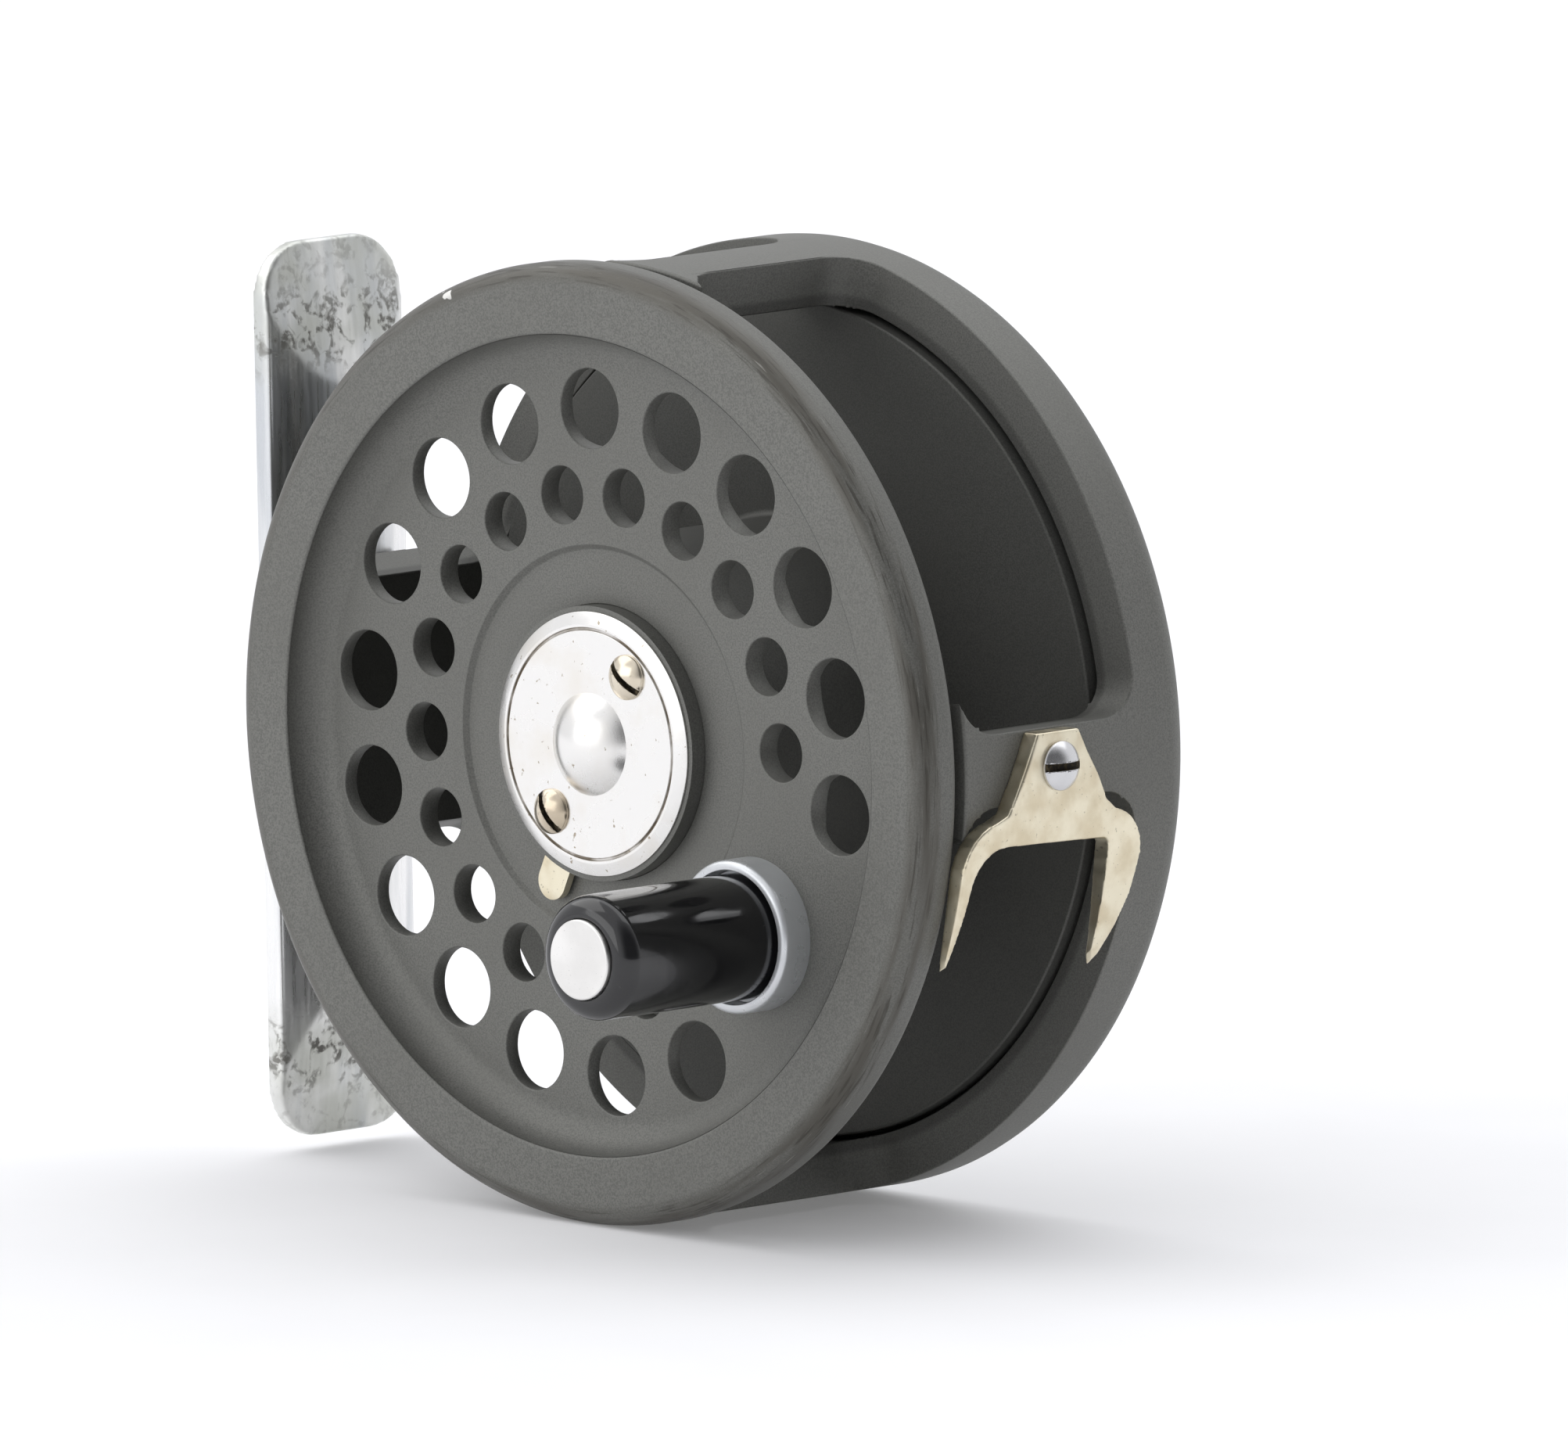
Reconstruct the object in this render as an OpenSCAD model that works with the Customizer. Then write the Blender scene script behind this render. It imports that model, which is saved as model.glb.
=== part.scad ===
/* [Rim and frame] */
// Outside diameter of the palming rim
rim_d = 72; // [70:0.5:76]
// Outside diameter of the frame
frame_d = 71.6; // [70:0.2:72]
// Depth from the spool's face plate to the back of the frame
reel_depth = 26.2; // [25:0.1:28]
// Wall thickness of the frame's rings and pillars
frame_wall = 3.8; // [3.4:0.1:4]
// How far the palming rim stands forward of the face plate
rim_rise = 2.8; // [2.4:0.1:3.2]
// Angular width of each cage window
window_span = 74.5; // [70:0.5:75]

/* [Spool] */
// Drum diameter that the line is wound on
drum_d = 30; // [28:0.5:31]
// Number of positions in each ring of holes
hole_places = 18; // [18]
// Outer holes' circle diameter
outer_pcd = 49.9; // [49:0.1:50.5]
// Outer holes' diameter
outer_hole_d = 6; // [5:0.1:6.2]
// Inner holes' circle diameter
inner_pcd = 37.3; // [37:0.1:38]
// Inner holes' diameter
inner_hole_d = 4.35; // [3.8:0.05:4.6]
// Distance of the handle from the axis
handle_r = 20.4; // [20:0.1:21]
// Angle of the handle, counter-clockwise from the line guard
handle_angle = -40; // [-42:0.5:-38]

/* [Handle] */
// Diameter of the grip
grip_d = 9.4; // [9:0.1:9.8]
// Distance from the face plate to the end of the handle pin
handle_reach = 18.5; // [17:0.5:20]

/* [Foot] */
// Length of the foot along the rod
foot_len = 67.8; // [62:0.2:70]
// Width of the foot
foot_w = 14.3; // [13:0.1:15]
// Distance from the spool axis to the rod
foot_drop = 42; // [42:0.5:43]

/* [Check] */
// Teeth on the check wheel
check_teeth = 24; // [24]
// Swing of each pawl either way, in degrees
pawl_swing = 3; // [1:0.5:3]

/* [Hidden] */
$fn = 96;
eps = 0.02;
play = 0.05;
rim_r = rim_d / 2;
frame_r = frame_d / 2;
bore_r = frame_r - frame_wall;

// Depths are measured along +Y from the front of the face plate, which is depth 0.
rim_back = 0.5;
ring_front = 0.9;
window_front = 2;
window_back = 20.3;
window_corner = 3.4;
flange_front = 19.6;
flange_back = 20.6;
plate_front = 23.4;
frame_back = reel_depth;
hub_floor = 0.4;
seat_floor = 0.8;
boss_front = -0.9;
cap_front = -1.4;
check_front = 21.1;
check_back = 22.7;

// Angles are counter-clockwise from the line guard, looking at the handle side.
guard_half = 4.4;
post_half = 4.6;
post_angle = guard_half + window_span + post_half;
first_outer = 111.7;
first_inner = 101.8;
cap_screw_angle = 52.5;
tab_angle = 244.5;
hole_step = 360 / hole_places;
outer_gap = [7, 8];
inner_gap = [6, 7, 8];

flange_r = bore_r - 0.4;
drum_r = drum_d / 2;
cove_r = 2.6;
dish_r = 30.7;
hub_r = 14.75;
hub_tube_r = 7;
gear_seat_r = 9.4;
bush_r = 4.2;
spindle_r = 3;
spindle_tip = -1.5;
boss_r = 10.3;
boss_wall = 1;
cap_r = 9.9;
cap_screw_r = 6.7;
stud_r = 1;
cap_slot_angle = -48;
latch_front = -0.55;
latch_back = 0.1;
collar_r = 5.75;
collar_front = -2.7;
collar_floor = -1.2;
pin_r = 3;
foot_y = 12.65;
foot_x = -foot_drop;
foot_t = 2.4;
saddle_half = 9.8;
check_screw_r = 5.8;
foot_screw_z = 6;
guard_y = 10.5;
guard_t = 1.5;
gear_r = 9;
gear_root = 7.9;
pawl_pivot = 12.5;
pawl_angles = [60, 120];
pawl_post_r = 1.25;
spring_r = 15.1;
spring_t = 0.4;
spring_ends = [-8.5, 7];
adjuster_r = 20;
adjuster_shaft = 1.5;
spindle_screw_r = 6;

// The origin is the middle of the foot's rod side, so the spool axis lies at X = foot_drop.
module placed() translate([foot_drop, -foot_y, 0]) children();

// Turns a profile drawn as (radius, depth) about the spool axis.
module turned() rotate([-90, 0, 0]) rotate_extrude($fn = 180) children();

// Fills a front-view outline (X right, Z up) between two depths.
module slab(front, back)
    translate([0, back, 0]) rotate([90, 0, 0]) linear_extrude(back - front) children();

// Puts children at a radius and an angle in the front view.
module at(radius, angle) rotate([0, -angle, 0]) translate([radius, 0, 0]) children();

// A round bar along the spool axis between two depths.
module bar(radius, front, back)
    translate([0, front, 0]) rotate([-90, 0, 0]) cylinder(r = radius, h = back - front, $fn = 64);

module box(low, high) translate(low) cube(high - low);

function arc(centre, radius, from, to, steps = 8) =
    [for (i = [0:steps]) let (a = from + (to - from) * i / steps)
        [centre[0] + radius * cos(a), centre[1] + radius * sin(a)]];

// A wedge in the front view, from the axis out past the frame.
module wedge(from, to) polygon(concat([[0, 0]], arc([0, 0], 60, from, to, 6)));

module round_rect(w, h, r) polygon([
    for (corner = [[1, 1, 0], [-1, 1, 90], [-1, -1, 180], [1, -1, 270]])
        each arc([corner[0] * (w / 2 - r), corner[1] * (h / 2 - r)], r, corner[2], corner[2] + 90, 10)
]);

// ---- Frame ----

// A window between two angles, with its corners rounded by drills that point at the axis.
module window(from, to) {
    inset = asin(window_corner / frame_r);
    drill_r = window_corner + 0.04;
    slab(window_front, window_back) wedge(from + inset, to - inset);
    slab(window_front + window_corner, window_back - window_corner) wedge(from, to);
    for (a = [from + inset, to - inset], y = [window_front, window_back - 2 * window_corner])
        at(bore_r - 3, a) translate([0, y + window_corner, 0])
            rotate([0, 90, 0]) cylinder(r = drill_r, h = 12, $fn = 64);
}

module frame_windows() {
    for (side = [0, 1]) mirror([0, 0, side]) {
        window(guard_half, guard_half + window_span);
        window(post_angle + post_half, post_angle + post_half + window_span);
    }
}

module frame_profile() {
    edge_r = 2.4;
    difference() {
        union() {
            translate([0, ring_front]) square([frame_r, frame_back - edge_r - ring_front]);
            translate([0, plate_front]) square([frame_r - edge_r, frame_back - plate_front]);
            translate([frame_r - edge_r, frame_back - edge_r]) circle(r = edge_r);
        }
        translate([-1, 0]) square([bore_r + 1, plate_front]);
        translate([-1, frame_back - 0.5]) square([27, 1]);
    }
}

module frame_saddle() {
    box([foot_x + foot_t, 6.6, -saddle_half], [-bore_r - 1.5, 18.7, saddle_half]);
}

module frame_drillings() {
    bar(spindle_r, plate_front - 1, frame_back + 1);
    for (i = [0:2]) at(spindle_screw_r, 90 + 120 * i) bar(0.9, plate_front - 1, frame_back + 1);
    for (a = pawl_angles) {
        at(pawl_pivot, a) bar(pawl_post_r, plate_front - 1, frame_back - 1.2);
        at(spring_r, a) translate([0, 0, spring_post_side(a) * spring_ends[0]])
            bar(1.1, plate_front - 1, frame_back - 1.2);
    }
    at(adjuster_r, 90) bar(adjuster_shaft + play, plate_front - 1, frame_back + 1);
    for (z = [-1, 1])
        translate([foot_x, foot_y, z * foot_screw_z]) rotate([0, 90, 0]) cylinder(r = 1.2, h = 9.4);
    translate([bore_r - 1, guard_y, 0]) rotate([0, 90, 0]) cylinder(r = 1, h = 8);
}

module frame() placed() color("dimgray") difference() {
    union() {
        difference() {
            turned() frame_profile();
            frame_windows();
        }
        frame_saddle();
        bar(9, plate_front - 0.6, plate_front + eps);
    }
    frame_drillings();
}

module spindle_profile() {
    polygon([
        [0, spindle_tip], [1.9, spindle_tip], [spindle_r, -0.9], [spindle_r, -0.75],
        [2.35, -0.75], [2.35, 0.3], [spindle_r, 0.3], [spindle_r, 22.2], [4.4, 22.2],
        [4.4, 22.8], [spindle_r, 22.8], [spindle_r, frame_back - 0.5], [0, frame_back - 0.5]
    ]);
}

module spindle() placed() color("silver") turned() spindle_profile();

// A slotted screw along +Y with its head at the back.
module back_screw(shank, front, head, seat, top) {
    difference() {
        union() {
            bar(shank, front, seat + eps);
            bar(head, seat, top);
        }
        translate([-head - 1, top - 0.35, -0.25]) cube([2 * head + 2, 1, 0.5]);
    }
}

module spindle_screws() placed() color("gainsboro")
    for (i = [0:2]) at(spindle_screw_r, 90 + 120 * i)
        back_screw(0.9, plate_front - 0.6, 1.6, frame_back - 0.5, frame_back + 0.25);

// ---- Foot ----

module foot_outline() round_rect(foot_len, foot_w, 4.4);

module foot_ramp() {
    ramp_z = 23;
    ramp_angle = 7.5;
    for (s = [0, 1]) mirror([0, 0, s])
        translate([foot_x + foot_t, -10, ramp_z]) rotate([0, -ramp_angle, 0]) cube([10, 40, 30]);
}

module reel_foot() placed() color("lightgray") {
    crown_r = 32.4;
    difference() {
        intersection() {
            translate([foot_x, foot_y, 0]) rotate([0, 90, 0]) linear_extrude(6) foot_outline();
            translate([foot_x + foot_t - crown_r, foot_y, -50]) cylinder(r = crown_r, h = 100, $fn = 180);
        }
        foot_ramp();
        for (z = [-1, 1]) translate([foot_x - 1, foot_y, z * foot_screw_z]) rotate([0, 90, 0]) {
            cylinder(r = 1.2, h = 6);
            cylinder(r = 2.2, h = 1 + eps);
            translate([0, 0, 1]) cylinder(r1 = 2.2, r2 = 1.2, h = 1);
        }
    }
}

module foot_screws() placed() color("gainsboro")
    for (z = [-1, 1]) translate([foot_x, foot_y, z * foot_screw_z]) rotate([0, 90, 0])
        difference() {
            union() {
                cylinder(r1 = 2.15, r2 = 1.2, h = 1);
                translate([0, 0, 1]) cylinder(r = 1.2, h = 8);
            }
            translate([-3, -0.25, -0.5]) cube([6, 0.5, 0.9]);
        }

// ---- Line guard ----

// Outline seen from the +X side, as (depth, height).
module guard_outline() polygon(concat(
    [[8.3, 2.6], [12.6, 2.6], [13.5, 0.8], [14.6, -1], [15.5, -2.9]],
    arc([15.9, -7.4], 3.7, 80, 0, 8),
    [[19.2, -10.4], [18.4, -12.9], [17.4, -15], [16.9, -15.4], [16.6, -14.6], [16.2, -8]],
    arc([15.5, -6.5], 0.6, 0, 90, 4),
    [[6, -5.6]],
    arc([5.2, -8.8], 3.2, 90, 170, 6),
    [[1.75, -10.6], [1.3, -13.4], [1.1, -14.4], [0.95, -13.6]],
    [[0.9, -6.8]],
    arc([4.7, -7.4], 3.8, 170, 100, 6),
    [[5.2, -3.2]]
));

module guard_shell() difference() {
    bar(frame_r + guard_t, 0, 25);
    bar(frame_r, -1, 26);
}

module line_guard() placed() color("tan") difference() {
    intersection() {
        guard_shell();
        translate([20, 0, 0]) rotate([90, 0, 90]) linear_extrude(25) guard_outline();
    }
    translate([frame_r - 2, guard_y, 0]) rotate([0, 90, 0]) cylinder(r = 1, h = 8);
}

module line_guard_screw() placed() color("gainsboro")
    translate([frame_r + guard_t, guard_y, 0]) rotate([0, 90, 0]) difference() {
        union() {
            translate([0, 0, -5.4]) cylinder(r = 1, h = 5.4 + eps);
            intersection() {
                cylinder(r = 1.85, h = 1);
                translate([0, 0, -1.45]) sphere(r = 2.42);
            }
        }
        translate([-0.27, -3, 0.45]) cube([0.54, 6, 2]);
    }

// ---- Check ----

function spring_post_side(a) = a < 90 ? 1 : -1;

module pawl_posts() placed() color("silver")
    for (a = pawl_angles) at(pawl_pivot, a) {
        bar(pawl_post_r, check_front - 0.15, frame_back - 1.2);
        bar(1.9, check_back + 0.15, plate_front);
    }

module spring_posts() placed() color("silver")
    for (a = pawl_angles) at(spring_r, a) translate([0, 0, -spring_post_side(a) * -spring_ends[0]])
        difference() {
            bar(1.1, check_front, frame_back - 1.2);
            translate([-spring_t / 2, check_front - 1, -2]) cube([spring_t, check_back - check_front + 1, 4]);
        }

module check_springs() placed() color("slategray")
    for (a = pawl_angles) at(spring_r, a) {
        s = spring_post_side(a);
        mirror([0, 0, s > 0 ? 0 : 1])
            box([-spring_t / 2, check_front + 0.1, spring_ends[0]], [spring_t / 2, check_back, spring_ends[1]]);
    }

// Outline in the pawl's own frame: the check wheel's centre is the origin.
module pawl_outline() difference() {
    polygon([
        [8.35, 0], [9.6, 0.55], [10.9, 2.1], [14, 2.1], [14.6, 1.5],
        [14.6, -1.5], [14, -2.1], [10.9, -2.1], [9.6, -0.55]
    ]);
    translate([pawl_pivot, 0]) circle(r = pawl_post_r + play);
}

module check_pawl(a) placed() color("darkkhaki")
    rotate([0, -a, 0]) slab(check_front, check_back) pawl_outline();

module check_pawl_left() check_pawl(pawl_angles[1]);
module check_pawl_right() check_pawl(pawl_angles[0]);

module adjuster_knob() placed() color("lightgray") at(adjuster_r, 90) difference() {
    union() {
        bar(adjuster_shaft, 22.9, frame_back + 0.4);
        bar(4.6, frame_back - 0.15, frame_back + 2.3);
    }
    bar(0.7, 22, 25);
    for (i = [0:23]) at(4.75, 15 * i) bar(0.3, frame_back - 1, frame_back + 3);
}

module adjuster_cam() placed() color("darkkhaki") at(adjuster_r, 90) difference() {
    translate([0.8, 0, 0]) bar(2.4, check_front, 22.9);
    bar(0.7, check_front - 1, 24);
}

module adjuster_screw() placed() color("gainsboro") at(adjuster_r, 90) difference() {
    union() {
        bar(0.7, check_front - eps, 24.8);
        bar(1.3, check_front - 0.35, check_front);
    }
    box([-2, check_front - 0.6, -0.15], [2, check_front - 0.2, 0.15]);
}

// ---- Spool ----

module rim_block() {
    front_round = 1.7;
    back_round = 0.9;
    difference() {
        union() {
            translate([28, -rim_rise]) square([rim_r - front_round - 28, rim_rise + rim_back]);
            translate([28, front_round - rim_rise])
                square([rim_r - 28, rim_rise + rim_back - front_round - back_round]);
            translate([rim_r - front_round, front_round - rim_rise]) circle(r = front_round);
            translate([rim_r - back_round, rim_back - back_round]) circle(r = back_round);
            translate([28, rim_back - back_round]) square([rim_r - back_round - 28, back_round]);
        }
        translate([dish_r - cove_r, -cove_r]) circle(r = cove_r);
        translate([20, -rim_rise - 1]) square([dish_r - cove_r - 20, rim_rise + 1]);
        translate([20, -rim_rise - 1]) square([dish_r - 20, rim_rise + 1 - cove_r]);
    }
}

module spool_profile() {
    rim_block();
    polygon([
        [bush_r, seat_floor], [boss_r, seat_floor], [boss_r, hub_floor],
        [hub_r - 0.35, hub_floor], [hub_r, 0], [dish_r, 0], [flange_r, rim_back],
        [flange_r, 1.3], [22.6, 1.3], [21.6, 1.9], [bush_r, 1.9]
    ]);
    translate([drum_r - 1.8, 1.5]) square([1.8, flange_back - 1.5]);
    translate([bush_r, 1.5]) square([hub_tube_r - bush_r, flange_back - 1.5]);
    translate([bush_r, flange_front]) square([gear_seat_r - bush_r, flange_back - flange_front]);
    polygon([
        [drum_r - 1.8, flange_front], [flange_r, flange_front], [flange_r, 21.4],
        [30.6, 21.4], [30.2, flange_back], [drum_r - 1.8, flange_back]
    ]);
}

module ring_of_holes(radius, hole_r, first, gap)
    for (i = [0:hole_places - 1]) if (len(search(i, gap)) == 0)
        at(radius, first - hole_step * i) bar(hole_r, -1, 3);

module spool() placed() color("dimgray") difference() {
    turned() spool_profile();
    ring_of_holes(outer_pcd / 2, outer_hole_d / 2, first_outer, outer_gap);
    ring_of_holes(inner_pcd / 2, inner_hole_d / 2, first_inner, inner_gap);
    at(handle_r, handle_angle) bar(1.6, -1, 3);
    for (a = [0, 180]) at(cap_screw_r, cap_screw_angle + a) bar(stud_r, 0, 3);
    for (i = [0:2]) at(check_screw_r, 30 + 120 * i) bar(0.8, 16.6, 22);
    at(drum_r - 3, 160) rotate([0, 90, 0]) translate([0, 10.5, 0]) cylinder(r = 0.9, h = 6);
}

module spool_bushing() placed() color("goldenrod") difference() {
    bar(bush_r, hub_floor, flange_back);
    bar(spindle_r + play, -1, 25);
}

module gear_outline() polygon([
    for (i = [0:check_teeth - 1], p = [[0, gear_root], [0.42, gear_r], [0.58, gear_r]])
        let (a = (i + p[0]) * 360 / check_teeth) [p[1] * cos(a), p[1] * sin(a)]
]);

module check_wheel() placed() color("silver") difference() {
    slab(flange_back, 22.2) gear_outline();
    bar(bush_r + 0.15, 20, 23);
    for (i = [0:2]) at(check_screw_r, 30 + 120 * i) {
        bar(0.8, 20, 23);
        bar(1.2, 21.6, 23);
    }
}

module check_wheel_screws() placed() color("gainsboro")
    for (i = [0:2]) at(check_screw_r, 30 + 120 * i) back_screw(0.8, 16.6, 1.2, 21.6, 22.2);

// ---- Latch ----

module housing_posts(r)
    for (a = [0, 180]) rotate(cap_screw_angle + a) translate([cap_screw_r, 0]) circle(r = r);

module tab_slot_outline() rotate(tab_angle) translate([6, -2.4]) square([8, 6.2]);

module latch_housing() placed() color("dimgray") difference() {
    union() {
        difference() {
            bar(boss_r, boss_front, seat_floor);
            bar(boss_r - boss_wall, boss_front - 1, hub_floor);
            bar(bush_r, 0, seat_floor + 1);
        }
        slab(boss_front, seat_floor - 0.2) housing_posts(1.5);
    }
    slab(latch_front - 0.3, hub_floor) tab_slot_outline();
    for (a = [0, 180]) at(cap_screw_r, cap_screw_angle + a) bar(stud_r, -2, 2);
}

module latch_outline() {
    eye_shift = 0.95;
    difference() {
        union() {
            circle(r = 8.3, $fn = 120);
            rotate(cap_screw_angle) translate([cap_screw_r, 0]) circle(r = 2.3);
            rotate(tab_angle) translate([7, -1.4]) square([4.9, 2.8]);
            rotate(tab_angle) translate([11.9, 0]) intersection() {
                circle(r = 1.4);
                translate([-1, -2]) square([3, 4]);
            }
        }
        rotate(cap_screw_angle) {
            translate([0, eye_shift]) circle(r = 3.5);
            translate([cap_screw_r, 0]) circle(r = 1.55);
            translate([-cap_screw_r, 0]) circle(r = 1.5 + 1.3);
            translate([-5, -9.5]) square([8.4, 2.8]);
            translate([-cap_screw_r - 6, -0.4]) square([6, 3.1]);
        }
    }
}

module latch_lever() placed() color("tan") slab(latch_front, latch_back) latch_outline();

module latch_spring() placed() color("silver") {
    wire = 0.35;
    chord = 8.6;
    half_len = 3.3;
    y = (latch_front + latch_back) / 2;
    at(0, cap_screw_angle) translate([-half_len, y, -chord])
        rotate([0, 90, 0]) cylinder(r = wire / 2, h = 2 * half_len);
}

module cap_profile() {
    dome_base = 3.85;
    dome_rise = 1.7;
    dome_r = (dome_base * dome_base + dome_rise * dome_rise) / (2 * dome_rise);
    difference() {
        union() {
            polygon([
                [0, boss_front], [cap_r, boss_front], [cap_r, boss_front - 0.15],
                [8.95, cap_front], [8.75, cap_front], [8.75, cap_front + 0.14],
                [8.5, cap_front + 0.14], [8.5, cap_front], [0, cap_front]
            ]);
            intersection() {
                translate([0, cap_front - dome_rise + dome_r]) circle(r = dome_r, $fn = 128);
                translate([0, cap_front - dome_rise - 1]) square([dome_base, dome_rise + 1 + eps]);
            }
        }
        polygon([[-1, -1.9], [2.3, -1.9], [3.4, -1.15], [3.4, 1], [-1, 1]]);
        translate([-10, -20]) square([10, 40]);
    }
}

module spool_cap() placed() color("whitesmoke") difference() {
    turned() cap_profile();
    for (a = [0, 180]) at(cap_screw_r, cap_screw_angle + a) bar(stud_r, -3, 1);
}

module cap_screws() placed() color("tan")
    for (a = [0, 180]) at(cap_screw_r, cap_screw_angle + a) difference() {
        union() {
            bar(stud_r, cap_front - eps, 1.9);
            intersection() {
                bar(1.7, cap_front - 0.9, cap_front);
                translate([0, cap_front + 1.35, 0]) sphere(r = 2.2);
            }
        }
        rotate([0, -cap_slot_angle, 0]) box([-3, cap_front - 2, -0.24], [3, cap_front - 0.4, 0.24]);
    }

// ---- Handle ----

module on_handle() placed() at(handle_r, handle_angle) children();

module handle_collar() on_handle() color("silver") turned() difference() {
    union() {
        translate([1.6, collar_front + 0.6]) square([collar_r - 1.6, -collar_front - 0.6]);
        translate([1.6, collar_front]) square([collar_r - 0.6 - 1.6, -collar_front]);
        translate([collar_r - 0.6, collar_front + 0.6]) circle(r = 0.6);
    }
    translate([0, collar_front - 1]) square([grip_d / 2 + 0.3, collar_floor - collar_front + 1]);
}

module handle_pin() on_handle() color("silver") turned() polygon([
    [0, -handle_reach], [2.85, -handle_reach], [pin_r, 0.15 - handle_reach],
    [pin_r, 1 - handle_reach], [1.6, 1 - handle_reach], [1.6, 1.9], [2.2, 1.9], [2.2, 2.3], [0, 2.3]
]);

module handle_grip() on_handle() color("black") turned() {
    back = collar_floor - 0.15;
    front = 0.35 - handle_reach;
    radius = grip_d / 2;
    round_r = 1.5;
    difference() {
        union() {
            translate([0, front]) square([radius - round_r, back - front]);
            translate([0, front + round_r]) square([radius, back - front - round_r]);
            translate([radius - round_r, front + round_r]) circle(r = round_r);
        }
        translate([-1, front - 1]) square([pin_r + play + 1, 1.9]);
        translate([-1, front]) square([1.6 + play + 1, back - front + 1]);
    }
}

frame();
spindle();
spindle_screws();
reel_foot();
foot_screws();
line_guard();
line_guard_screw();
pawl_posts();
spring_posts();
check_springs();
check_pawl_left();
check_pawl_right();
adjuster_knob();
adjuster_cam();
adjuster_screw();
spool();
spool_bushing();
check_wheel();
check_wheel_screws();
latch_housing();
latch_lever();
latch_spring();
spool_cap();
cap_screws();
handle_collar();
handle_pin();
handle_grip();
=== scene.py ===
import math

import bmesh
import bpy
from mathutils import Matrix, Vector


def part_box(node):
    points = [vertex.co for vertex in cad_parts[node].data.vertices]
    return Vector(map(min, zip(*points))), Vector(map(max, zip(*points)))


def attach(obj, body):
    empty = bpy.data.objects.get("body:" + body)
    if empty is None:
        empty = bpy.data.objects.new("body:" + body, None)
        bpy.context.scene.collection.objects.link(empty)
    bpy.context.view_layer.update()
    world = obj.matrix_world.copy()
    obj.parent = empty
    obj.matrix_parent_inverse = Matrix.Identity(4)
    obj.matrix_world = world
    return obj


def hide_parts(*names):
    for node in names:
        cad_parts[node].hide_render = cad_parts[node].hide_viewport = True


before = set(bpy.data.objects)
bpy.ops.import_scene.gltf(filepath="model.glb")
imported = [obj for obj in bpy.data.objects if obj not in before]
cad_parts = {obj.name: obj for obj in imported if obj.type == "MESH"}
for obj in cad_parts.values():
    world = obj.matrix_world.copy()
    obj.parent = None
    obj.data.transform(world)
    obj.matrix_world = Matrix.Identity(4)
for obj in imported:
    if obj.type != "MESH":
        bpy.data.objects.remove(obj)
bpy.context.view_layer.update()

MM = 0.001

# Sizes are in millimetres. Depths are behind the spool's face plate, and angles are
# counter-clockwise from the line guard, seen from the handle side.
RIM_RISE = 2.8
RIM_BACK = 0.5
FRAME_WALL = 3.8

# The spool's axis, its face plate and the main radii, from the boxes of the CAD nodes.
_spool_low, _spool_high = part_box("spool")
_foot_low, _foot_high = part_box("reel_foot")
_frame_low, _frame_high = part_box("frame")
AXIS_X = (_spool_low.x + _spool_high.x) / 2
AXIS_Z = (_spool_low.z + _spool_high.z) / 2
FACE_Y = _spool_low.y + RIM_RISE * MM
RIM_R = (_spool_high.x - _spool_low.x) / 2 / MM
FRAME_R = (_frame_high.z - _frame_low.z) / 2 / MM
FRAME_BACK = (_frame_high.y - FACE_Y) / MM
BORE_R = FRAME_R - FRAME_WALL

# The rim's rear lip hides the frame's front ring, which is rebated to pass inside it. The CAD has
# neither: its ring keeps the full radius behind a plain gap.
LIP_BACK = 1.3
LIP_INSIDE_R = 34.9
REBATE_R = 34.5
REBATE_BACK = 2.1

# The grimy groove of the cap, the handle and the two cap screws.
GROOVE_R = 8.63
HANDLE_R = 20.4
HANDLE_ANGLE = -40
CAP_SCREW_R = 6.7
CAP_SCREW_ANGLES = (52.5, 232.5)
CAP_SLOT_ANGLES = (-40, -57)

# The line guard's thickness and the depth of its screw.
GUARD_T = 1.5
GUARD_Y = 10.5
# Distance below the guard's screw where its prongs begin to thin, and where they end.
PRONG_TAPER = (7.5, 15.3)

# The adjuster knob on the back.
KNOB_R = 20
KNOB_ANGLE = 90


# ---- Places ----

def spot(radius, angle, depth):
    """A point at a radius and an angle about the spool axis, at a depth."""
    a = math.radians(angle)
    x = AXIS_X + radius * math.cos(a) * MM
    z = AXIS_Z + radius * math.sin(a) * MM
    return Vector((x, FACE_Y + depth * MM, z))


def facing(radius, angle, depth):
    """The matrix that turns +Z towards the front of the reel at that place."""
    roll = Matrix.Rotation(math.radians(-angle), 4, "Y")
    to_front = Matrix.Rotation(math.radians(90), 4, "X")
    return Matrix.Translation(spot(radius, angle, depth)) @ roll @ to_front


# ---- Mesh tools ----

def fillet(points, segments=6):
    """A closed outline whose points are (u, v) or (u, v, corner radius), with its corners rounded."""
    outline = []
    for i, point in enumerate(points):
        corner = Vector(point[:2])
        if len(point) < 3:
            outline.append(corner)
            continue
        before = (Vector(points[i - 1][:2]) - corner).normalized()
        after = (Vector(points[(i + 1) % len(points)][:2]) - corner).normalized()
        half = before.angle(after) / 2
        centre = corner + (before + after).normalized() * (point[2] / math.sin(half))
        start = corner + before * (point[2] / math.tan(half)) - centre
        end = corner + after * (point[2] / math.tan(half)) - centre
        first = math.atan2(start.y, start.x)
        sweep = (math.atan2(end.y, end.x) - first + math.pi) % (2 * math.pi) - math.pi
        for step in range(segments + 1):
            a = first + sweep * step / segments
            outline.append(centre + Vector((math.cos(a), math.sin(a))) * point[2])
    return outline


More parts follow.
